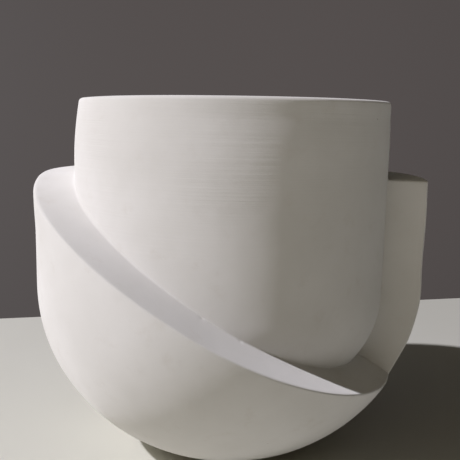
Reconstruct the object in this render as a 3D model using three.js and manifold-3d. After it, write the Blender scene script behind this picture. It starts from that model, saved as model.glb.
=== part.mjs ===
// Two-part plaster mould: a turned pot-shaped core with a casting cavity sits in a cut-away bowl-shaped
// outer shell and lifts straight up out of it. Three pairs of keys between the two locate the core.
// Millimetres, +Z up. Origin: centre of the shell's flat foot. -Y is the front, where the shell is cut away.

import * as THREE from 'three';
import { mergeVertices } from 'three/addons/utils/BufferGeometryUtils.js';
import Module from 'manifold-3d';

// ---- driving dimensions ----

const GAP = 0.3; // running gap between the pieces

// Core: a round wall that leans in a little towards the rim, over a bottom with a wide round corner.
const CORE_R = 100; // widest radius of the core
const RIM_Z = 224; // height of the core's rim
const RIM_ROUND = 2.5; // rounding of the rim's outer and inner edges
const LEAN_Z = 187; // the wall leans in above this height
const LEAN_R = 190; // radius of the arc that it leans in along
const CORE_CORNER_Z = 103.5; // the wall turns into the bottom's corner here
const CORE_CORNER_R = 62.5; // radius of that corner

// Casting cavity inside the core.
const CAVITY_R = 76;
const CAVITY_CORNER_Z = 106;
const CAVITY_CORNER_R = 40;
const SPARE_R = 80; // the wider pouring spare just below the rim
const SPARE_DEPTH = 16;
const SPARE_STEP = 3; // height of the sloping step under the spare

// Shell: a bowl with an upright wall and an almost spherical underside, standing on a turned flat foot.
const SHELL_R = 124;
const SHELL_CORNER_Z = 111.3; // the upright wall turns into the round underside here
const SHELL_CORNER_R = 117;
const SHOULDER_Z = 177; // height of the level top of the shell round the back
const SHOULDER_ROUND = 2.5;
const FOOT_ROUND = 1.5;

// Cut-away front of the shell. A ledge winds down from the shoulder at the left to the step at the right.
// Its inner edge lies in one tilted plane and its outer edge in another: z = at axis + slopeX x + slopeY y.
const SEAM_PLANE = { atAxis: 120, slopeX: -0.578, slopeY: 0.187 };
const EDGE_PLANE = { atAxis: 113.3, slopeX: -0.507, slopeY: 0.148 };
const STEP_AZIMUTH = THREE.MathUtils.degToRad(-15.2); // upright radial face that ends the cut at the right
const RAMP_SWEEP = THREE.MathUtils.degToRad(190); // clockwise from the step to above the shoulder
const RAMP_STEPS = 38;
const CUT_INNER_R = 60; // the space that is cut away runs on past the shell's inner and outer faces
const CUT_OUTER_R = 136;

// Keys: a domed peg set in the shell's floor and a cup set in the core's underside.
const KEY_COUNT = 3;
const KEY_CIRCLE_R = 23;
const KEY_FIRST_AZIMUTH = Math.PI / 2;
const KEY_STEM_R = 7;
const KEY_STEM_DEPTH = 11;
const KEY_FLANGE_R = 9;
const KEY_FLANGE_DEPTH = 2;
const KEY_CHAMFER = 1.5; // at the buried end of a peg's stem and of a cup
const DOME_R = 5.5;
const CUP_STEM_R = 9;
const CUP_DEPTH = 12;
const POCKET_OVERRUN = 2; // how far a cup's pocket is cut on below the core's underside

const TURNED_SEGMENTS = 60;
const KEY_SEGMENTS = 16;

const PLASTER_WHITE = 0xded9d6;
const RESIN_TAN = 0xc9b79a;

// ---- outlines ----

const coreFloorZ = CORE_CORNER_Z - CORE_CORNER_R; // underside of the core

// Points along a circular arc about (r, z), from one angle to another, both ends included.
function arc(r, z, radius, from, to, steps) {
  return Array.from({ length: steps + 1 }, (unused, i) => {
    const angle = THREE.MathUtils.degToRad(from + ((to - from) * i) / steps);
    return new THREE.Vector2(r + radius * Math.cos(angle), z + radius * Math.sin(angle));
  });
}

const point = (r, z) => new THREE.Vector2(r, z);

// How far an upright wall has drawn in at height z, where a corner of the given radius starts at cornerZ.
function cornerDraw(z, cornerZ, radius) {
  const below = THREE.MathUtils.clamp(cornerZ - z, 0, radius);
  return radius - Math.sqrt(radius * radius - below * below);
}

const coreRadiusAt = (z) => CORE_R - cornerDraw(z, CORE_CORNER_Z, CORE_CORNER_R);
const shellRadiusAt = (z) => SHELL_R - cornerDraw(z, SHELL_CORNER_Z, SHELL_CORNER_R);

function coreOutline() {
  const leanTop = THREE.MathUtils.radToDeg(Math.asin((RIM_Z - RIM_ROUND - LEAN_Z) / LEAN_R));
  const lean = arc(CORE_R - LEAN_R, LEAN_Z, LEAN_R, 0, leanTop, 5);
  const rimR = lean[lean.length - 1].x - RIM_ROUND;
  const spareZ = RIM_Z - SPARE_DEPTH;
  return [
    point(0, coreFloorZ),
    ...arc(CORE_R - CORE_CORNER_R, CORE_CORNER_Z, CORE_CORNER_R, -90, 0, 12),
    ...lean,
    ...arc(rimR, RIM_Z - RIM_ROUND, RIM_ROUND, 30, 90, 2),
    ...arc(SPARE_R + RIM_ROUND, RIM_Z - RIM_ROUND, RIM_ROUND, 90, 180, 3),
    point(SPARE_R, spareZ),
    point(CAVITY_R, spareZ - SPARE_STEP),
    ...arc(CAVITY_R - CAVITY_CORNER_R, CAVITY_CORNER_Z, CAVITY_CORNER_R, 0, -90, 8),
    point(0, CAVITY_CORNER_Z - CAVITY_CORNER_R),
  ];
}

function shellOutline() {
  const cutAngle = THREE.MathUtils.radToDeg(Math.asin((FOOT_ROUND - SHELL_CORNER_Z) / SHELL_CORNER_R));
  const socketCorner = CORE_CORNER_R + GAP;
  return [
    point(0, 0),
    point(shellRadiusAt(FOOT_ROUND) - FOOT_ROUND, 0),
    ...arc(SHELL_R - SHELL_CORNER_R, SHELL_CORNER_Z, SHELL_CORNER_R, cutAngle, 0, 11),
    ...arc(SHELL_R - SHOULDER_ROUND, SHOULDER_Z - SHOULDER_ROUND, SHOULDER_ROUND, 0, 90, 3),
    point(CORE_R + GAP, SHOULDER_Z),
    ...arc(CORE_R - CORE_CORNER_R, CORE_CORNER_Z, socketCorner, 0, -90, 12),
    point(0, coreFloorZ - GAP),
  ];
}

// ---- solids ----

const wasm = await Module();
wasm.setup();

function toSolid(geometry) {
  const bare = geometry.clone();
  bare.deleteAttribute('normal');
  bare.deleteAttribute('uv');
  const merged = mergeVertices(bare, 1e-4);
  return new wasm.Manifold(
    new wasm.Mesh({
      numProp: 3,
      vertProperties: merged.attributes.position.array,
      triVerts: new Uint32Array(merged.index.array),
    }),
  );
}

function toGeometry(solid) {
  const mesh = solid.getMesh();
  const geometry = new THREE.BufferGeometry();
  geometry.setAttribute('position', new THREE.BufferAttribute(mesh.vertProperties, 3));
  geometry.setIndex(new THREE.BufferAttribute(mesh.triVerts, 1));
  geometry.computeVertexNormals();
  return geometry;
}

// A solid turned about the +Z axis from an outline of (radius, height) points.
function turned(outline, segments) {
  return new THREE.LatheGeometry(outline, segments).rotateX(Math.PI / 2);
}

// The point where a vertical section at one azimuth crosses both a round wall and a tilted plane.
function wallMeetsPlane(radiusAt, plane, azimuth) {
  const slope = plane.slopeX * Math.cos(azimuth) + plane.slopeY * Math.sin(azimuth);
  let low = 0;
  let high = RIM_Z;
  while (high - low > 1e-4) {
    const middle = (low + high) / 2;
    if (middle > plane.atAxis + slope * radiusAt(middle)) high = middle;
    else low = middle;
  }
  return point(radiusAt(low), low);
}

// The space above the ledge: a wedge-shaped ring that ends in the upright radial step face.
// Each section has four corners; its lower side is the ledge, run on past the shell's two faces.
function cutAway() {
  const positions = [];
  for (let i = 0; i <= RAMP_STEPS; i += 1) {
    const azimuth = STEP_AZIMUTH - (RAMP_SWEEP * i) / RAMP_STEPS;
    const seam = wallMeetsPlane(coreRadiusAt, SEAM_PLANE, azimuth);
    const edge = wallMeetsPlane(shellRadiusAt, EDGE_PLANE, azimuth);
    const fall = (edge.y - seam.y) / (edge.x - seam.x);
    const corners = [
      [CUT_INNER_R, seam.y + fall * (CUT_INNER_R - seam.x)],
      [CUT_OUTER_R, seam.y + fall * (CUT_OUTER_R - seam.x)],
      [CUT_OUTER_R, RIM_Z],
      [CUT_INNER_R, RIM_Z],
    ];
    for (const [r, z] of corners) positions.push(r * Math.cos(azimuth), r * Math.sin(azimuth), z);
  }
  const triangles = [0, 2, 1, 0, 3, 2];
  for (let i = 0; i < RAMP_STEPS; i += 1) {
    for (let side = 0; side < 4; side += 1) {
      const a = 4 * i + side;
      const b = 4 * i + ((side + 1) % 4);
      triangles.push(a, b, a + 4, b, b + 4, a + 4);
    }
  }
  const last = 4 * RAMP_STEPS;
  triangles.push(last, last + 1, last + 2, last, last + 2, last + 3);
  const geometry = new THREE.BufferGeometry();
  geometry.setAttribute('position', new THREE.Float32BufferAttribute(positions, 3));
  geometry.setIndex(triangles);
  return geometry;
}

// Peg about its own axis: stem down into the shell's floor, flange flush with it, dome standing up.
// Grown by the gap, the same outline is the pocket that the peg sits in.
function pegOutline(grow) {
  const dome = arc(0, grow, DOME_R + grow, 0, 90, 5);
  return [
    point(0, -KEY_STEM_DEPTH - grow),
    point(KEY_STEM_R - KEY_CHAMFER + grow, -KEY_STEM_DEPTH - grow),
    point(KEY_STEM_R + grow, -KEY_STEM_DEPTH + KEY_CHAMFER),
    point(KEY_STEM_R + grow, -KEY_FLANGE_DEPTH - grow),
    point(KEY_FLANGE_R + grow, -KEY_FLANGE_DEPTH - grow),
    point(KEY_FLANGE_R + grow, grow),
    ...dome,
  ];
}

// Cup about its own axis: mouth at height 0, opening downwards, set up into the core's underside.
function cupOutline() {
  const hollow = DOME_R + GAP;
  return [
    ...arc(0, 0, hollow, 90, 0, 5),
    point(CUP_STEM_R, 0),
    point(CUP_STEM_R, CUP_DEPTH - KEY_CHAMFER),
    point(CUP_STEM_R - KEY_CHAMFER, CUP_DEPTH),
    point(0, CUP_DEPTH),
  ];
}

// The pocket that a cup sits in, run on below the core's underside.
function cupPocketOutline() {
  return [
    point(0, -POCKET_OVERRUN),
    point(CUP_STEM_R + GAP, -POCKET_OVERRUN),
    point(CUP_STEM_R + GAP, CUP_DEPTH + GAP),
    point(0, CUP_DEPTH + GAP),
  ];
}

function keyPlaces() {
  return Array.from({ length: KEY_COUNT }, (unused, i) => {
    const azimuth = KEY_FIRST_AZIMUTH + (2 * Math.PI * i) / KEY_COUNT;
    return new THREE.Vector2(KEY_CIRCLE_R * Math.cos(azimuth), KEY_CIRCLE_R * Math.sin(azimuth));
  });
}

// ---- assembly ----

const FINISH = { roughness: 0.9, metalness: 0 };
const shellFloorZ = coreFloorZ - GAP;
const mould = new THREE.Group();

function addPiece(name, geometry, color) {
  const piece = new THREE.Mesh(geometry, new THREE.MeshStandardMaterial({ color, ...FINISH }));
  piece.name = name;
  mould.add(piece);
  return piece;
}

let core = toSolid(turned(coreOutline(), TURNED_SEGMENTS));
let shell = toSolid(turned(shellOutline(), TURNED_SEGMENTS)).subtract(toSolid(cutAway()));

keyPlaces().forEach(({ x, y }, i) => {
  const peg = addPiece(`key_peg_${i + 1}`, turned(pegOutline(0), KEY_SEGMENTS), RESIN_TAN);
  peg.position.set(x, y, shellFloorZ);
  const cup = addPiece(`key_cup_${i + 1}`, turned(cupOutline(), KEY_SEGMENTS), RESIN_TAN);
  cup.position.set(x, y, coreFloorZ);
  const pegPocket = turned(pegOutline(GAP), KEY_SEGMENTS).translate(x, y, shellFloorZ);
  const cupPocket = turned(cupPocketOutline(), KEY_SEGMENTS).translate(x, y, coreFloorZ);
  shell = shell.subtract(toSolid(pegPocket));
  core = core.subtract(toSolid(cupPocket));
});

addPiece('core', toGeometry(core), PLASTER_WHITE);
addPiece('outer_shell', toGeometry(shell), PLASTER_WHITE);

export default mould;
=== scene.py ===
import math

import bmesh
import bpy
import numpy as np
from mathutils import Matrix, Vector, noise


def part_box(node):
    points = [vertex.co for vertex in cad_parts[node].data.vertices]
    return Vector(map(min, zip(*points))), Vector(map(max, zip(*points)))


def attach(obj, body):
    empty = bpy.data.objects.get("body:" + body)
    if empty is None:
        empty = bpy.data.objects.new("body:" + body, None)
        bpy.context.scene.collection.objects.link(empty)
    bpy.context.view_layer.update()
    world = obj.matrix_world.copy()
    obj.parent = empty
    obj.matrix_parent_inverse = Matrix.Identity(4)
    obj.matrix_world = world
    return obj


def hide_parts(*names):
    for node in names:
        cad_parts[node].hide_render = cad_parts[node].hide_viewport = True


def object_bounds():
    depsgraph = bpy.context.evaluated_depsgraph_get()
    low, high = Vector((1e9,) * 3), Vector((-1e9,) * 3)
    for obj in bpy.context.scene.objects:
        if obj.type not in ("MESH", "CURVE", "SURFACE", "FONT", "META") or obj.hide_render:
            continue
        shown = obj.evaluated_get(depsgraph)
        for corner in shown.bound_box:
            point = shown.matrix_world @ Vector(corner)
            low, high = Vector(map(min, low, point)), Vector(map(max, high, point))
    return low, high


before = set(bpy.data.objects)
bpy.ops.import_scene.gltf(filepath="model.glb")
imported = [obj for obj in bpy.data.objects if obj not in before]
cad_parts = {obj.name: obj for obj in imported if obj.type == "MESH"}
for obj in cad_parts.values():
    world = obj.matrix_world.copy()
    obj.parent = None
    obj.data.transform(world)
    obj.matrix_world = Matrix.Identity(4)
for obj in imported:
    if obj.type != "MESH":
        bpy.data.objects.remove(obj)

# The two-part plaster mould: a turned core, a shell that is cut away by a winding ledge, and the
# locating keys between them. Shapes are worked out in millimetres in the CAD frame and made into
# meshes in metres. A sweep is an angle clockwise from the shell's step, seen from above; an azimuth
# is an angle in the CAD frame.

MM = 0.001

cad_low, cad_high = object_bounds()
core_low, core_high = (np.array(corner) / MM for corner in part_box("core"))
shell_high = np.array(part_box("outer_shell")[1]) / MM

# ---- dimensions, in millimetres ----

SEAM = 0.05  # visible width of the joint between core and shell

CORE_R = core_high[0]
RIM_Z = core_high[2]
CORE_FLOOR_Z = core_low[2]
RIM_ROUND = 2.5
LEAN_Z = 187.0  # the core's wall leans in above this height
LEAN_R = 190.0
MOUTH_Z = 179.0  # above this height the core was trimmed by hand and isn't quite true
MOUTH_RISE = (0.35, 0.75)  # how much too high the rim stands at the axis, and how much more at the right
MOUTH_SHIFT = 0.6  # how far the rim stands off the axis to the right
MOUTH_WIDEN = (0.6, 1.6)  # how much less the rim leans in, at the left and at the right
LIP_Z = 211.0  # above this height the wall stands upright again at the front
LIP_WIDEN = 0.8
SEAT_MARGIN = 2.0  # above the seam the core stays true for this far
SEAT_FADE = 12.0  # and is as uneven as the rest of it this much higher
CORE_CORNER_Z = 103.5
CORE_CORNER_R = CORE_CORNER_Z - CORE_FLOOR_Z

CAVITY_R = 76.0
CAVITY_CORNER_Z = 106.0
CAVITY_CORNER_R = 40.0
SPARE_R = 80.0
SPARE_DEPTH = 16.0
SPARE_STEP = 3.0

SHELL_R = shell_high[0]
SHELL_CORNER_Z = 111.3
SHELL_CORNER_R = 117.0
SHOULDER_Z = shell_high[2]
FOOT_ROUND = 1.5

SEAM_PLANE = (120.0, -0.578, 0.187)  # height at the axis, slope along X, slope along Y
EDGE_PLANE = (113.3, -0.507, 0.148)
STEP_AZIMUTH = math.radians(-15.2)
BEND = 3.0  # how softly the ledge turns into the level shoulder
LEDGE_FILLET = (0.7, 1.7)  # fillet against the core, at the ledge's low end and at its high end
STEP_ROUND = 1.3  # rounding of the step face's free edges
CREASE_FILLET = 4.0  # fillet where the ledge meets the step face
CREASE_LIFT = 0.29  # how far that fillet stands off the crease, as a share of its width
CORNER_LEG = 3.0  # wall beside a corner that is enough to give its direction
LEDGE_RISE = 12.0  # below the shoulder, the height in which the wide fillet fades in

# The shell's top was cut and sanded by hand. Each station is (sweep in degrees, value in mm).
EDGE_ROUND = ((0, 0.9), (120, 1.0), (148, 2.6), (200, 2.8), (270, 1.6), (330, 1.0))
EDGE_WAVE = ((0, -2.6), (12, -2.0), (24, -0.7), (62, -0.4), (76, 0.1), (90, 0.8), (126, 0.9), (142, 0.0),
             (300, 0.0), (338, 0.6))
SEAM_WAVE = ((0, -2.2), (22, -1.6), (34, -1.2), (46, -0.6), (76, -0.5), (90, -0.3), (118, -0.5),
             (132, -0.9), (148, 0.0), (300, 0.0), (338, 0.3))
# Where the outer wall stands proud: (azimuth, half its width in degrees, height, half its height, mm).
PROUD = (
    (-165, 45, 165, 26, 0.75),
    (-165, 60, 75, 40, 0.6),
    (-12, 40, 153, 24, 0.4),
    (-12, 40, 105, 22, 0.6),
    (-12, 30, 62, 16, -0.8),
)
# Nicks in the ledge's inner edge: (azimuth in degrees, size, depth).
NICKS = ((-97.8, 2.4, 0.32), (-86.2, 1.6, 0.38))

KEY_POCKET_R = 9.0
POCKET_PLAY = 0.2  # between the end of a key and the bottom of its pocket
CUT_PAST = 3.0  # how far a pocket's cutter stands out of the surface that it opens in

SHARP_DEG = 32  # edges that turn by more than this are shaded sharp

# ---- outlines ----


def arc(r, z, radius, start, end, count):
    """Points on a circular arc about (r, z), from one angle in degrees to another."""
    angle = np.radians(np.linspace(start, end, count))
    return np.stack([r + radius * np.cos(angle), z + radius * np.sin(angle)], -1)


def line(start, end, count):
    """Points along a straight run, without its last one."""
    share = np.linspace(0, 1, count, endpoint=False)[:, None]
    return np.array(start) * (1 - share) + np.array(end) * share


def corner_draw(z, corner_z, radius):
    """How far an upright wall has drawn in at height z, below the start of its round corner."""
    below = np.clip(corner_z - z, 0, radius)
    return radius - np.sqrt(np.maximum(radius**2 - below**2, 0))


def core_radius(z):
    return CORE_R - corner_draw(z, CORE_CORNER_Z, CORE_CORNER_R)


def shell_radius(z):
    return SHELL_R - corner_draw(z, SHELL_CORNER_Z, SHELL_CORNER_R)


def unit(v):
    return v / np.linalg.norm(v, axis=-1, keepdims=True)


def rounded(before, corner, after, radius, count):
    """The arcs that round a corner in every section at once: (sections, count, 2) points."""
    back, on = unit(before - corner), unit(after - corner)
    half = 0.5 * np.arccos(np.clip((back * on).sum(-1), -1, 1))
    centre = corner + unit(back + on) * (radius / np.sin(half))[:, None]
    run = (radius / np.tan(half))[:, None]
    start, end = corner + back * run - centre, corner + on * run - centre
    turn = (math.pi - 2 * half)[:, None, None]
    share = np.linspace(0, 1, count)[None, :, None]
    mixed = np.sin((1 - share) * turn) * start[:, None] + np.sin(share * turn) * end[:, None]
    return centre[:, None] + mixed / np.sin(turn)


# ---- meshes ----


def grid_faces(rows, columns, first=0):
    """Quads of a grid of points numbered row by row from first."""
    index = first + np.arange(rows * columns).reshape(rows, columns)
    quads = [index[:-1, :-1], index[1:, :-1], index[1:, 1:], index[:-1, 1:]]
    return np.stack(quads, -1).reshape(-1, 4)


def make_piece(name, points, faces):
    """A smooth-shaded mesh object from points in millimetres, with coincident points joined."""
    mesh = bpy.data.meshes.new(name)
    mesh.from_pydata((points * MM).tolist(), [], faces.tolist())
    piece = bpy.data.objects.new(name, mesh)
    bpy.context.scene.collection.objects.link(piece)
    tidy_mesh(piece)
    return piece


def tidy_mesh(piece):
    """Joins coincident points, turns every face outwards and marks the sharp edges."""
    bm = bmesh.new()
    bm.from_mesh(piece.data)
    bmesh.ops.remove_doubles(bm, verts=bm.verts, dist=2e-6)
    bmesh.ops.dissolve_degenerate(bm, edges=bm.edges, dist=1e-6)
    bmesh.ops.recalc_face_normals(bm, faces=bm.faces)
    for face in bm.faces:
        face.smooth = True
    for edge in bm.edges:
        edge.smooth = len(edge.link_faces) != 2 or edge.calc_face_angle() < math.radians(SHARP_DEG)
    bm.to_mesh(piece.data)
    bm.free()


def turned_points(outline, azimuths):
    """Points of an outline turned about the axis: one row per azimuth."""
    r, z = outline[None, :, 0], outline[None, :, 1]
    c, s = np.cos(azimuths)[:, None], np.sin(azimuths)[:, None]
    return np.stack([r * c, r * s, np.broadcast_to(z, (len(azimuths), z.shape[1]))], -1)


def turned_piece(name, outline, segments, centre=(0, 0), finish=None):
    """A piece turned about an upright axis; finish may move its points before they are meshed."""
    azimuths = np.linspace(0, 2 * math.pi, segments + 1)
    azimuths[-1] = 0
    points = turned_points(outline, azimuths) + np.array([centre[0], centre[1], 0])
    if finish:
        points = finish(points)
    faces = grid_faces(len(azimuths), len(outline))
    return make_piece(name, points.reshape(-1, 3), faces)


def cut(piece, cutter):
    """Takes the cutter's space out of a piece and removes the cutter."""
    modifier = piece.modifiers.new("cut", "BOOLEAN")
    modifier.operation = "DIFFERENCE"
    modifier.solver = "EXACT"
    modifier.object = cutter
    depsgraph = bpy.context.evaluated_depsgraph_get()
    result = bpy.data.meshes.new_from_object(piece.evaluated_get(depsgraph))
    piece.modifiers.clear()
    piece.data = result
    bpy.data.objects.remove(cutter)


def roughen(piece, amount, size, seed, share):
    """Moves the surface in and out a little, as hand-scraped plaster lies, by smooth noise.
    share gives the part of the amount at each point, which leaves the seat true."""
    mesh = piece.data
    count = len(mesh.vertices)
    co = np.empty(count * 3, np.float32)
    mesh.vertices.foreach_get("co", co)
    co = co.reshape(-1, 3)
    normals = np.array([v.normal for v in mesh.vertices], np.float32).reshape(-1, 3)
    offset = Vector((seed, 1.7 * seed, 0.3 * seed))
    scale = 1 / (size * MM)
    push = np.array([noise.noise(Vector(c) * scale + offset) for c in co], np.float32)
    push = push * amount * share(co / MM)
    mesh.vertices.foreach_set("co", (co + normals * push[:, None] * MM).ravel())
    mesh.update()


# ---- core ----


def core_outline():
    """The core's section, from the middle of its underside out, up, over the rim and into the cavity."""
    lean_top = math.degrees(math.asin((RIM_Z - RIM_ROUND - LEAN_Z) / LEAN_R))
    corner_r = CORE_R - CORE_CORNER_R
    wall = arc(corner_r, CORE_CORNER_Z, CORE_CORNER_R, -90, 0, 60)
    lean = arc(CORE_R - LEAN_R, LEAN_Z, LEAN_R, 0, lean_top, 24)
    rim_r = lean[-1, 0] - RIM_ROUND * math.cos(math.radians(lean_top))
    rim_z = lean[-1, 1] - RIM_ROUND * math.sin(math.radians(lean_top))
    rim = arc(rim_r, rim_z, RIM_ROUND, lean_top, 90, 9)
    top_z = rim[-1, 1]
    inner_rim = arc(SPARE_R + RIM_ROUND, top_z - RIM_ROUND, RIM_ROUND, 90, 180, 9)
    spare_z = RIM_Z - SPARE_DEPTH
    cavity = arc(CAVITY_R - CAVITY_CORNER_R, CAVITY_CORNER_Z, CAVITY_CORNER_R, 0, -90, 40)
    return np.concatenate([
        line((0, CORE_FLOOR_Z), (corner_r, CORE_FLOOR_Z), 12),
        wall,
        line((CORE_R, CORE_CORNER_Z), (CORE_R, LEAN_Z), 30)[1:],
        lean,
        rim[1:],
        line(rim[-1], inner_rim[0], 8)[1:],
        inner_rim,
        line(inner_rim[-1], (SPARE_R, spare_z), 8)[1:],
        line((SPARE_R, spare_z), (CAVITY_R, spare_z - SPARE_STEP), 5),
        line((CAVITY_R, spare_z - SPARE_STEP), (CAVITY_R, CAVITY_CORNER_Z), 40),
        cavity,
        line(cavity[-1], (0, cavity[-1, 1]), 12)[1:],
        [[0, cavity[-1, 1]]],
    ])


def above_seam(points):
    """0 below the plane that the seam lies in along the ledge, 1 well above it. Behind the step that plane
    runs lower than the shoulder, so a part of the seat there counts as above it."""
    seam_z = SEAM_PLANE[0] + SEAM_PLANE[1] * points[..., 0] + SEAM_PLANE[2] * points[..., 1]
    return np.clip((points[..., 2] - np.minimum(seam_z, SHOULDER_Z) - SEAT_MARGIN) / SEAT_FADE, 0, 1)


def trim_mouth(points):
    """Makes the core's mouth as uneven as its hand-trimmed rim is."""
    x, y, z = points[..., 0], points[..., 1], points[..., 2]
    r = np.hypot(x, y)
    toward_right = np.where(r > 1, x / np.maximum(r, 1), 0)
    level = np.clip((z - MOUTH_Z) / (RIM_Z - MOUTH_Z), 0, 1)
    level = level * level * (3 - 2 * level)
    lean = np.clip((z - LEAN_Z) / (RIM_Z - LEAN_Z), 0, 1) ** 2
    left, right = MOUTH_WIDEN
    widen = lean * (left + (right - left) * (0.5 + 0.5 * toward_right))
    toward_front = np.clip(0.3 + toward_right - y / np.maximum(r, 1), 0, 1)
    lip = np.clip((z - LIP_Z) / (RIM_Z - LIP_Z), 0, 1)
    widen = widen + LIP_WIDEN * lip * lip * (3 - 2 * lip) * toward_front
    widen = 1 + widen / np.maximum(r, CAVITY_R / 2)
    return np.stack([
        x * widen + MOUTH_SHIFT * level,
        y * widen,
        z + level * (MOUTH_RISE[0] + MOUTH_RISE[1] * x / CORE_R),
    ], -1)


# ---- shell ----


def wall_meets_plane(radius_at, plane, azimuth):
    """Where a vertical section at each azimuth crosses both a round wall and a tilted plane."""
    slope = plane[1] * np.cos(azimuth) + plane[2] * np.sin(azimuth)
    low, high = np.zeros_like(azimuth), np.full_like(azimuth, RIM_Z)
    halvings = 40
    for _ in range(halvings):
        middle = (low + high) / 2
        above = middle > plane[0] + slope * radius_at(middle)
        high, low = np.where(above, middle, high), np.where(above, low, middle)
    return low


def ledge_height(radius_at, plane, sweep):
    """Height of one edge of the shell's top, clockwise from the step: ledge first, then shoulder."""
    highest = math.atan2(plane[2], plane[1])
    reach = (STEP_AZIMUTH - highest) % (2 * math.pi)
    azimuth = STEP_AZIMUTH - np.minimum(sweep, reach)
    ledge = wall_meets_plane(radius_at, plane, azimuth)
    blend = np.clip(1 - np.abs(ledge - SHOULDER_Z) / BEND, 0, 1)
    return np.minimum(ledge, SHOULDER_Z) - blend**2 * BEND / 4


def by_hand(stations, sweep):
    """A value that eases from station to station round the shell."""
    at = np.degrees(sweep)
    angles, values = np.array(stations).T
    index = np.clip(np.searchsorted(angles, at) - 1, 0, len(angles) - 2)
    share = np.clip((at - angles[index]) / (angles[index + 1] - angles[index]), 0, 1)
    share = share * share * (3 - 2 * share)
    return values[index] * (1 - share) + values[index + 1] * share


def outer_share(points):
    """0 on the seat, 1 on the outer wall."""
    r, z = np.hypot(points[..., 0], points[..., 1]), points[..., 2]
    inner = core_radius(z)
    return np.clip((r - inner) / (shell_radius(z) - inner), 0, 1)


def work_by_hand(points):
    """Gives the turned wall its flats and swellings, and nicks the ledge's inner edge."""
    azimuth = np.degrees(np.arctan2(points[..., 1], points[..., 0]))
    r, z = np.hypot(points[..., 0], points[..., 1]), points[..., 2]
    push = np.zeros_like(r)
    for centre, half_width, centre_z, half_height, amount in PROUD:
        across = np.clip(np.abs((azimuth - centre + 180) % 360 - 180) / half_width, 0, 1)
        along = np.clip(np.abs(z - centre_z) / half_height, 0, 1)
        push = push + amount * (np.cos(across * math.pi / 2) * np.cos(along * math.pi / 2)) ** 2
    grow = 1 + push * outer_share(points) / np.maximum(r, 1)
    points = points * np.stack([grow, grow, np.ones_like(grow)], -1)
    for centre, size, depth in NICKS:
        angle = np.array([math.radians(centre)])
        seam_z = ledge_height(core_radius, SEAM_PLANE, STEP_AZIMUTH - angle)
        seam_z = seam_z + by_hand(SEAM_WAVE, STEP_AZIMUTH - angle)
        nick_r = core_radius(seam_z) + SEAM + 0.4 * size
        nick = np.array([nick_r * np.cos(angle), nick_r * np.sin(angle), seam_z])[:, 0]
        near = np.clip(1 - np.linalg.norm(points - nick, axis=-1) / size, 0, 1)
        points = points - np.array([0, 0, depth]) * (near * near * (3 - 2 * near))[..., None]
    return points


def shell_sweeps():
    """Clockwise angles from the step face, closer together beside it on both sides."""
    crowded = math.radians(1.6)
    near = np.linspace(0, 1, 9) ** 1.3 * crowded
    far = 2 * math.pi - (1 - np.cos(np.linspace(0, math.pi / 2, 7))[::-1]) * STEP_ROUND / CORE_R
    even = np.linspace(near[-1], far[0], 860)[1:-1]
    return np.concatenate([near, even, far])


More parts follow.
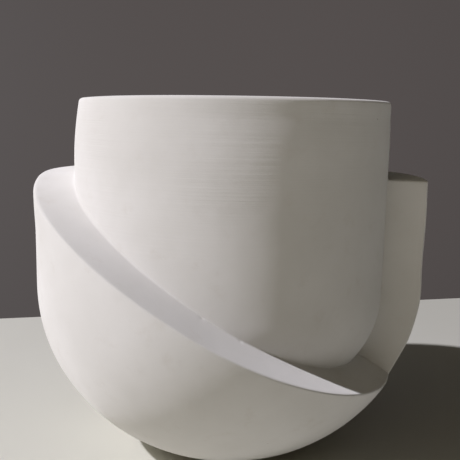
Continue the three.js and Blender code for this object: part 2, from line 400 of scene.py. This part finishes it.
def shell_sections(sweep):
    """The upper part of the shell's section at each sweep, as (sections, points, 2), with the number
    of points in its outer wall, top and inner wall, and the whole lower outline that they stand on."""
    walls, edge_count, top_count, fillet_count = 46, 7, 14, 7
    beside_step = (2 * math.pi - sweep) * CORE_R
    inset = np.clip(STEP_ROUND - beside_step, 0, STEP_ROUND)
    inset = STEP_ROUND - np.sqrt(STEP_ROUND**2 - inset**2)
    out_z = ledge_height(shell_radius, EDGE_PLANE, sweep) + by_hand(EDGE_WAVE, sweep) - inset
    in_z = ledge_height(core_radius, SEAM_PLANE, sweep) + by_hand(SEAM_WAVE, sweep) - inset
    high = (out_z - out_z.min()) / (out_z.max() - out_z.min())
    on_ledge = np.clip((SHOULDER_Z - in_z) / LEDGE_RISE, 0, 1)
    edge_round = by_hand(EDGE_ROUND, sweep)
    fillet = LEDGE_FILLET[0] + (LEDGE_FILLET[1] - LEDGE_FILLET[0]) * high * (0.5 + 0.5 * on_ledge)

    def outer(z, drop):
        return np.stack([shell_radius(z) - drop, z], -1)

    def inner(z):
        return np.stack([core_radius(z) + SEAM, z], -1)

    below, above = outer(out_z - CORNER_LEG, inset), inner(in_z + CORNER_LEG)
    edge = rounded(below, outer(out_z, inset), inner(in_z), edge_round, edge_count)
    seam = rounded(outer(out_z, inset), inner(in_z), above, fillet, fillet_count)
    edge[:, 0] = outer(edge[:, 0, 1], inset)
    seam[:, -1] = inner(seam[:, -1, 1])
    share = np.linspace(0, 1, top_count)[None, 1:-1, None]
    top = edge[:, -1:] * (1 - share) + seam[:, :1] * share

    # The walls above the ledge's lowest point, where the step's rounded end fades into the wall.
    base_out, base_in = edge[0, 0, 1], seam[0, -1, 1]
    rise = np.linspace(0, 1, walls)[None, :]
    wall_z = base_out + (edge[:, 0, 1][:, None] - base_out) * rise
    fade = np.clip((wall_z - base_out) / (4 * STEP_ROUND), 0, 1)
    outer_wall = outer(wall_z, inset[:, None] * fade * fade * (3 - 2 * fade))
    inner_wall = inner(seam[:, -1, 1][:, None] + (base_in - seam[:, -1, 1][:, None]) * rise)
    upper = np.concatenate([outer_wall[:, :-1], edge, top, seam, inner_wall[:, 1:]], 1)

    # The lower outline: foot and bowl outside, then the seat inside.
    start = -math.degrees(math.asin((SHELL_CORNER_Z - FOOT_ROUND) / SHELL_CORNER_R))
    end = -math.degrees(math.asin((SHELL_CORNER_Z - base_out) / SHELL_CORNER_R))
    foot_r = shell_radius(FOOT_ROUND) - FOOT_ROUND
    inner_start = -math.degrees(math.asin((CORE_CORNER_Z - base_in) / CORE_CORNER_R))
    floor_z = CORE_FLOOR_Z - SEAM
    corner_r = CORE_R - CORE_CORNER_R
    outside = np.concatenate([
        line((0, 0), (foot_r, 0), 12),
        arc(foot_r, FOOT_ROUND, FOOT_ROUND, -90, -20, 6),
        arc(SHELL_R - SHELL_CORNER_R, SHELL_CORNER_Z, SHELL_CORNER_R, start + 0.3, end, 44),
    ])
    inside = np.concatenate([
        arc(corner_r, CORE_CORNER_Z, CORE_CORNER_R + SEAM, inner_start, -90, 30),
        line((corner_r, floor_z), (0, floor_z), 12)[1:],
        [[0, floor_z]],
    ])
    return upper, (walls, edge_count + top_count - 2 + fillet_count), outside, inside


def section_points(sections, sweep):
    """Points in space of a section at each sweep."""
    azimuth = (STEP_AZIMUTH - sweep)[:, None]
    r, z = sections[..., 0], sections[..., 1]
    return np.stack([r * np.cos(azimuth), r * np.sin(azimuth), z], -1)


def step_face(low_path, high_path, walls, top):
    """The step face, stretched between the ledge's end and the outline of the shoulder's end.
    Both paths run up the outer wall, in across the top and down the inner wall."""
    right = high_path[:walls]
    left = high_path[-walls:][::-1]
    upper = high_path[walls - 1 : walls - 1 + top]
    lower = low_path[walls - 1 : walls - 1 + top]
    u = np.linspace(0, 1, top)[None, :, None]
    v = np.linspace(0, 1, walls)[:, None, None]
    sides = (1 - u) * right[:, None] + u * left[:, None]
    ends = (1 - v) * lower[None] + v * upper[None]
    corners = (1 - u) * (1 - v) * lower[0] + u * (1 - v) * lower[-1]
    corners = corners + (1 - u) * v * upper[0] + u * v * upper[-1]
    return sides + ends - corners


def fill_crease(points, is_step, crease, width):
    """Fillets the crease between ledge and step face by moving the points beside it off both.
    Columns of points run across the ledge; the first and the last are on the walls and stay."""
    away = np.array([math.sin(STEP_AZIMUTH), -math.cos(STEP_AZIMUTH), 0])
    beside = points @ away
    radius = np.hypot(points[..., 0], points[..., 1])
    share = np.clip((radius - crease[1, 0]) / (crease[0, 0] - crease[1, 0]), 0, 1)
    above = points[..., 2] - (crease[1, 1] + (crease[0, 1] - crease[1, 1]) * share)
    distance = np.where(is_step, above, beside)
    lift = CREASE_LIFT * width * np.clip(1 - distance / width, 0, 1) ** 2
    column = np.linspace(0, 1, points.shape[-2])
    lift = lift * np.clip(4 * share, 0, 1) * np.clip(4 * (1 - share), 0, 1)
    lift = lift * np.clip(5 * column, 0, 1) * np.clip(5 * (1 - column), 0, 1)
    moved_step = points + lift[..., None] * away
    moved_ledge = points + lift[..., None] * np.array([0, 0, 1])
    at_both = lift[..., None] * (away + np.array([0, 0, 1]))
    on_crease = (distance < 1e-6)[..., None]
    return np.where(on_crease, points + at_both, np.where(is_step, moved_step, moved_ledge))


def build_shell():
    """The shell: its section swept once round from the step, closed by the step face."""
    sweep = shell_sweeps()
    upper, (walls, top), outside, inside = shell_sections(sweep)
    count = len(sweep)
    sections = np.concatenate([
        np.broadcast_to(outside, (count, *outside.shape)),
        upper,
        np.broadcast_to(inside, (count, *inside.shape)),
    ], 1)
    body = section_points(sections, sweep)
    first = len(outside)
    path = slice(first, first + upper.shape[1])
    face = step_face(body[0, path], body[-1, path], walls, top)

    ledge_end = upper[0, walls - 1 : walls - 1 + top]
    crease = ledge_end[[0, -1]]
    on_top = slice(first + walls - 1, first + walls - 1 + top)
    beside = sweep * CORE_R < 2 * CREASE_FILLET
    body[beside, on_top] = fill_crease(body[beside, on_top], False, crease, CREASE_FILLET)
    face = fill_crease(face, True, crease, CREASE_FILLET)
    face[0] = body[0, on_top]

    rows, columns = body.shape[:2]
    points = work_by_hand(np.concatenate([body.reshape(-1, 3), face.reshape(-1, 3)]))
    faces = np.concatenate([
        grid_faces(rows, columns),
        grid_faces(face.shape[0], face.shape[1], rows * columns),
    ])
    return make_piece("shell_body", points, faces)


# ---- keys ----

KEY_NODES = [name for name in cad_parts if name.startswith("key_")]


def key_centre(node):
    low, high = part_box(node)
    middle = (low + high) / 2 / MM
    return (middle.x, middle.y), low.z / MM, high.z / MM


def peg_outline(low_z, high_z):
    """A ribbed stem, a flange and a dome: the outline of a peg between its lowest and highest points."""
    dome_r, flange_r, stem_r, flange_depth = 5.5, 8.8, 7.0, 2.0
    rib_pitch, rib_depth, rib_slope = 2.2, 0.7, 0.6
    floor_z = high_z - dome_r
    rib_z = np.arange(low_z + 2, floor_z - flange_depth - 1.5, rib_pitch)
    ribs = [[stem_r - rib_depth * odd, z + rib_slope * odd] for z in rib_z for odd in (0, 1)]
    return np.concatenate([
        [[0, low_z], [stem_r - 1.5, low_z], [stem_r, low_z + 1.5]],
        ribs,
        [[stem_r - 0.5, floor_z - flange_depth], [flange_r, floor_z - flange_depth]],
        arc(flange_r - 0.4, floor_z - 0.3, 0.4, 0, 90, 5),
        arc(dome_r + 0.8, floor_z + 0.9, 0.8, -90, -180, 6),
        arc(0, floor_z + 0.9, dome_r, 0, 90, 16)[1:] * [1, 1] - [0, 0.9],
    ])


def cup_outline(low_z, high_z):
    """A round cup with a smooth hollow that opens downwards."""
    hollow_r, stem_r = 5.8, 8.8
    return np.concatenate([
        arc(0, low_z, hollow_r, 90, 8, 16),
        arc(hollow_r + 0.5, low_z + 0.5, 0.5, 200, 270, 5),
        arc(stem_r - 0.4, low_z + 0.4, 0.4, -90, 0, 5),
        [[stem_r, high_z - 1.5], [stem_r - 1.5, high_z], [0, high_z]],
    ])


def build_keys():
    keys = []
    for node in sorted(KEY_NODES):
        centre, low_z, high_z = key_centre(node)
        is_peg = node.startswith("key_peg")
        outline = peg_outline(low_z, high_z) if is_peg else cup_outline(low_z, high_z)
        key = turned_piece(f"{node}_body", outline, 64, centre)
        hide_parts(node)
        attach(key, "shell" if is_peg else "core")
        keys.append(key)
    return keys


def pocket(low_z, high_z, centre):
    r = KEY_POCKET_R
    outline = np.array([[0, low_z], [r, low_z], [r, high_z], [0, high_z]], float)
    return turned_piece("pocket", outline, 96, centre)


def cut_pockets(core, shell):
    """Sinks a pocket for each cup in the core's underside and for each peg in the shell's floor."""
    for node in sorted(KEY_NODES):
        centre, low_z, high_z = key_centre(node)
        if node.startswith("key_cup"):
            cut(core, pocket(low_z - CUT_PAST, high_z + POCKET_PLAY, centre))
        else:
            cut(shell, pocket(low_z - POCKET_PLAY, CORE_FLOOR_Z + CUT_PAST, centre))


# ---- materials ----

PLASTER_COLORS = ((0.812, 0.803, 0.775, 1), (0.858, 0.850, 0.828, 1))
SMUDGE_COLOR = (0.70, 0.665, 0.61, 1)
SPECK_COLOR = (0.90, 0.89, 0.875, 1)
# Colour of the painted shade inside the air holes.
HOLE_SHADE_COLOR = (0.42, 0.39, 0.35, 1)
RESIN_COLORS = ((0.50, 0.36, 0.20, 1), (0.60, 0.45, 0.27, 1))
TABLE_COLORS = ((0.62, 0.618, 0.55, 1), (0.65, 0.648, 0.58, 1))

LINE_DRAW = 0.012  # how slowly a turning line changes along its way round
FINE_LINES = 3.1  # how much closer the fine lines lie than the coarse ones
FINE_SHARE = 0.35
LINES_FADE = (95.0, 180.0, 0.25)  # heights in mm between which the lines grow, and their part below
DENT_DEPTH = 0.10
HOLE_DEPTH = 0.25
HOLE_CELLS = 0.085  # cells per mm, of which some hold an air hole
HOLE_FROM = 0.80  # a cell holds a hole when its random number is above this
HOLE_SIZE = 0.045  # of the largest hole, as a share of the cell


class Nodes:
    """Small helper that adds and links shader nodes."""

    def __init__(self, name):
        self.material = bpy.data.materials.new(name)
        self.material.use_nodes = True
        self.tree = self.material.node_tree
        self.tree.nodes.clear()

    def add(self, kind, settings=None, **inputs):
        node = self.tree.nodes.new(kind)
        for key, value in (settings or {}).items():
            setattr(node, key, value)
        for key, value in inputs.items():
            self.put(node.inputs[key.replace("_", " ")], value)
        return node

    def put(self, socket, value):
        if isinstance(value, bpy.types.NodeSocket):
            self.tree.links.new(value, socket)
        else:
            socket.default_value = value

    def math(self, operation, *values):
        node = self.tree.nodes.new("ShaderNodeMath")
        node.operation = operation
        for socket, value in zip(node.inputs, values):
            self.put(socket, value)
        return node.outputs[0]

    def combine(self, x, y, z):
        node = self.add("ShaderNodeCombineXYZ", X=x, Y=y, Z=z)
        return node.outputs[0]

    def noise(self, vector, scale, detail=2.0, roughness=0.5):
        node = self.add("ShaderNodeTexNoise", Scale=scale, Detail=detail, Roughness=roughness)
        self.put(node.inputs["Vector"], vector)
        return node.outputs["Fac"]

    def ramp(self, value, low, high, to_low=0.0, to_high=1.0):
        node = self.add("ShaderNodeMapRange", {"interpolation_type": "SMOOTHSTEP"})
        names = ("Value", "From Min", "From Max", "To Min", "To Max")
        for key, entry in zip(names, (value, low, high, to_low, to_high)):
            self.put(node.inputs[key], entry)
        return node.outputs[0]

    def mix_color(self, share, first, second):
        node = self.add("ShaderNodeMix", {"data_type": "RGBA"})
        self.put(node.inputs["Factor"], share)
        self.put(node.inputs[6], first)
        self.put(node.inputs[7], second)
        return node.outputs[2]

    def bump(self, height_mm, strength, normal=None):
        node = self.add("ShaderNodeBump", Strength=strength, Distance=MM, Height=height_mm)
        if normal is not None:
            self.put(node.inputs["Normal"], normal)
        return node.outputs[0]

    def output(self, shader):
        node = self.tree.nodes.new("ShaderNodeOutputMaterial")
        self.tree.links.new(shader, node.inputs["Surface"])
        return self.material


def plaster(name, lines_mm, line_scale, grain_mm, stain):
    """Bare cast plaster with turning lines, grain, soft dents, air holes darkened with painted shade,
    clouds and smudges.
    The lines run round the axis, and t grows along any cup-like outline."""
    n = Nodes(name)
    place = n.add("ShaderNodeTexCoord").outputs["Object"]
    mm = n.add("ShaderNodeVectorMath", {"operation": "SCALE"})
    n.put(mm.inputs[0], place)
    n.put(mm.inputs["Scale"], 1 / MM)
    position = mm.outputs[0]
    axes = n.add("ShaderNodeSeparateXYZ", Vector=position)
    x, y, z = (axes.outputs[i] for i in range(3))
    r = n.math("SQRT", n.math("ADD", n.math("MULTIPLY", x, x), n.math("MULTIPLY", y, y)))
    t = n.math("ADD", z, r)

    round_axis = n.combine(n.math("MULTIPLY", x, LINE_DRAW), n.math("MULTIPLY", y, LINE_DRAW), t)
    coarse = n.noise(round_axis, line_scale, 3.0, 0.62)
    fine = n.noise(round_axis, line_scale * FINE_LINES, 2.0, 0.5)
    patches = n.ramp(n.noise(position, 0.018, 2.0), 0.35, 0.7, 0.35, 1.0)
    patches = n.math("MULTIPLY", patches, n.ramp(z, *LINES_FADE, 1.0))
    lines = n.math("ADD", coarse, n.math("MULTIPLY", fine, FINE_SHARE))
    lines = n.math("MULTIPLY", lines, patches)

    grain = n.noise(position, 1.1, 4.0, 0.6)
    dents = n.noise(position, 0.11, 3.0, 0.5)

    cells = n.add("ShaderNodeTexVoronoi", Scale=HOLE_CELLS, Vector=position)
    pick = n.add("ShaderNodeSeparateColor", Color=cells.outputs["Color"]).outputs[0]
    size = n.ramp(pick, HOLE_FROM, 1.0, 0.0, HOLE_SIZE)
    holes = n.ramp(n.math("SUBTRACT", cells.outputs["Distance"], size), -0.012, 0.006, 1.0, 0.0)
    holes = n.math("MULTIPLY", holes, n.ramp(pick, HOLE_FROM, HOLE_FROM + 0.02))

    height = n.math("MULTIPLY", lines, lines_mm)
    height = n.math("ADD", height, n.math("MULTIPLY", grain, grain_mm))
    height = n.math("ADD", height, n.math("MULTIPLY", dents, DENT_DEPTH))
    height = n.math("SUBTRACT", height, n.math("MULTIPLY", holes, HOLE_DEPTH))

    cloud = n.ramp(n.noise(position, 0.022, 4.0, 0.55), 0.3, 0.72)
    color = n.mix_color(cloud, *PLASTER_COLORS)
    smudge = n.ramp(n.noise(position, 0.07, 5.0, 0.65), 0.54, 0.78, 0.0, stain)
    color = n.mix_color(smudge, color, SMUDGE_COLOR)
    speck = n.ramp(n.noise(position, 0.9, 3.0, 0.6), 0.62, 0.82, 0.0, 0.16)
    color = n.mix_color(speck, color, SPECK_COLOR)
    # Painted shade: the air holes are darkened in colour as well as sunk by the bump.
    color = n.mix_color(n.math("MULTIPLY", holes, 0.5), color, HOLE_SHADE_COLOR)
    rough = n.ramp(n.math("ADD", cloud, n.math("MULTIPLY", grain, 0.5)), 0.0, 1.5, 0.80, 0.96)

    shader = n.add("ShaderNodeBsdfPrincipled")
    n.put(shader.inputs["Base Color"], color)
    n.put(shader.inputs["Roughness"], rough)
    shader.inputs["Specular IOR Level"].default_value = 0.25
    shader.inputs["Diffuse Roughness"].default_value = 0.7
    n.put(shader.inputs["Normal"], n.bump(height, 1.0))
    return n.output(shader.outputs[0])


def resin(name):
    """Dull cast resin of the locating keys."""
    n = Nodes(name)
    place = n.add("ShaderNodeTexCoord").outputs["Object"]
    cloud = n.noise(place, 140.0, 4.0)
    scuff = n.noise(place, 1400.0, 3.0)
    shader = n.add("ShaderNodeBsdfPrincipled")
    n.put(shader.inputs["Base Color"], n.mix_color(cloud, *RESIN_COLORS))
    n.put(shader.inputs["Roughness"], n.ramp(scuff, 0.3, 0.7, 0.42, 0.62))
    n.put(shader.inputs["Normal"], n.bump(scuff, 0.03))
    return n.output(shader.outputs[0])


def table_top(name):
    """Plain pale table with the faintest clouds."""
    n = Nodes(name)
    place = n.add("ShaderNodeTexCoord").outputs["Object"]
    cloud = n.ramp(n.noise(place, 3.0, 4.0), 0.3, 0.7)
    shader = n.add("ShaderNodeBsdfPrincipled", Roughness=0.6)
    n.put(shader.inputs["Base Color"], n.mix_color(cloud, *TABLE_COLORS))
    shader.inputs["Specular IOR Level"].default_value = 0.3
    return n.output(shader.outputs[0])


def dress(piece, material):
    piece.data.materials.clear()
    piece.data.materials.append(material)


# ---- stage ----

CAMERA_AWAY = 437.4  # from the turning axis, straight in front
EYE_BELOW_RIM = 12.0
CAMERA_PITCH = math.radians(-9.40)
CAMERA_ROLL = math.radians(1.21)
FRAME_PIXELS = 460
FOCAL_PIXELS = 667
SENSOR = 36.0

TABLE_SIZE = 2.6  # metres
TABLE_BACK = 0.289  # metres from the turning axis to the table's back edge
TABLE_TURN = math.radians(13.25)
TABLE_BELOW = 0.1  # millimetres from the foot down to the table

KEY_AZIMUTH = math.radians(197)  # where the key light stands, seen from the object
KEY_ELEVATION = math.radians(44)
KEY_AWAY = 4.0  # metres
KEY_POOL = 1.6  # radius in metres of the pool of light
KEY_AIM = (-0.3, -0.5)  # metres from the object to the middle of the pool
KEY_RADIUS = 0.063  # metres
KEY_WATTS = 670
KEY_BLEND = 0.3  # soft part of the pool's edge
KEY_COLOR = (1.0, 0.975, 1.06)

# Soft light of the studio, from each side that it comes from: (direction, color).
ROOM_LIGHT = {
    "front left": ((-0.707, -0.707, 0), (0.32, 0.265, 0.165)),
    "back": ((0, 1, 0), (0.092, 0.080, 0.078)),
    "left": ((-1, 0, 0), (0.16, 0.16, 0.17)),
    "right": ((1, 0, 0), (0.01, 0.01, 0.01)),
    "top": ((0, 0, 1), (0.01, 0.01, 0.01)),
}


def add_camera():
    """The camera stands in front, its eye just below the rim, turned down a little and slightly rolled."""
    data = bpy.data.cameras.new("camera")
    data.sensor_width = SENSOR
    data.lens = SENSOR * FOCAL_PIXELS / FRAME_PIXELS
    data.clip_start, data.clip_end = 0.01, 50
    camera = bpy.data.objects.new("camera", data)
    bpy.context.scene.collection.objects.link(camera)
    upright = Matrix.Rotation(math.pi / 2 + CAMERA_PITCH, 4, "X")
    place = Matrix.Translation(Vector((0, -CAMERA_AWAY, RIM_Z - EYE_BELOW_RIM)) * MM)
    camera.matrix_world = place @ upright @ Matrix.Rotation(CAMERA_ROLL, 4, "Z")
    bpy.context.scene.camera = camera


def add_key_light():
    """One small lamp high on the left, which draws the shadow's edge down the core."""
    data = bpy.data.lights.new("key_light", "SPOT")
    data.energy = KEY_WATTS
    data.color = KEY_COLOR
    data.shadow_soft_size = KEY_RADIUS
    data.spot_size = 2 * math.atan(KEY_POOL / KEY_AWAY)
    data.spot_blend = KEY_BLEND
    light = bpy.data.objects.new("key_light", data)
    bpy.context.scene.collection.objects.link(light)
    toward = Vector((
        math.cos(KEY_AZIMUTH) * math.cos(KEY_ELEVATION),
        math.sin(KEY_AZIMUTH) * math.cos(KEY_ELEVATION),
        math.sin(KEY_ELEVATION),
    ))
    light.location = toward * KEY_AWAY + Vector((0, 0, SHELL_CORNER_Z / 2 * MM))
    light.rotation_mode = "QUATERNION"
    light.rotation_quaternion = (light.location - Vector((*KEY_AIM, 0))).to_track_quat("Z", "Y")


def add_room_light():
    """A plain soft surround that is brighter on some sides than on others."""
    world = bpy.data.worlds.new("studio")
    world.use_nodes = True
    tree = world.node_tree
    direction = tree.nodes.new("ShaderNodeTexCoord").outputs["Generated"]
    total = None
    for side, (normal, color) in ROOM_LIGHT.items():
        facing = tree.nodes.new("ShaderNodeVectorMath")
        facing.operation = "DOT_PRODUCT"
        facing.inputs[1].default_value = normal
        tree.links.new(direction, facing.inputs[0])
        share = tree.nodes.new("ShaderNodeMath")
        share.operation = "MAXIMUM"
        share.inputs[1].default_value = 0
        tree.links.new(facing.outputs["Value"], share.inputs[0])
        squared = tree.nodes.new("ShaderNodeMath")
        squared.operation = "POWER"
        squared.inputs[1].default_value = 2
        tree.links.new(share.outputs[0], squared.inputs[0])
        lit = tree.nodes.new("ShaderNodeVectorMath")
        lit.operation = "SCALE"
        lit.label = side
        lit.inputs[0].default_value = color
        tree.links.new(squared.outputs[0], lit.inputs["Scale"])
        if total is None:
            total = lit.outputs[0]
        else:
            added = tree.nodes.new("ShaderNodeVectorMath")
            tree.links.new(total, added.inputs[0])
            tree.links.new(lit.outputs[0], added.inputs[1])
            total = added.outputs[0]
    tree.links.new(total, tree.nodes["Background"].inputs["Color"])
    bpy.context.scene.world = world


def add_stage():
    """Table, lights and plain tones."""
    middle = TABLE_BACK - TABLE_SIZE / 2
    place = (-middle * math.sin(TABLE_TURN), middle * math.cos(TABLE_TURN), cad_low.z - TABLE_BELOW * MM)
    bpy.ops.mesh.primitive_plane_add(size=TABLE_SIZE, location=place, rotation=(0, 0, TABLE_TURN))
    floor = bpy.context.object
    floor.name = "floor"
    dress(floor, table_top("table_top"))
    add_key_light()
    add_room_light()
    bpy.context.scene.view_settings.view_transform = "Standard"


# ---- assembly ----

add_camera()

core = turned_piece("core_body", core_outline(), 720, finish=trim_mouth)
shell = build_shell()
cut_pockets(core, shell)
roughen(core, amount=0.12, size=55, seed=3.1, share=above_seam)
roughen(shell, amount=0.18, size=48, seed=7.4, share=outer_share)
tidy_mesh(core)
tidy_mesh(shell)
keys = build_keys()

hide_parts("core")
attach(core, "core")
dress(core, plaster("turned_plaster", lines_mm=0.20, line_scale=0.50, grain_mm=0.03, stain=0.27))

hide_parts("outer_shell")
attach(shell, "shell")
dress(shell, plaster("scraped_plaster", lines_mm=0.06, line_scale=0.30, grain_mm=0.05, stain=0.31))

key_resin = resin("key_resin")
for key in keys:
    dress(key, key_resin)

add_stage()
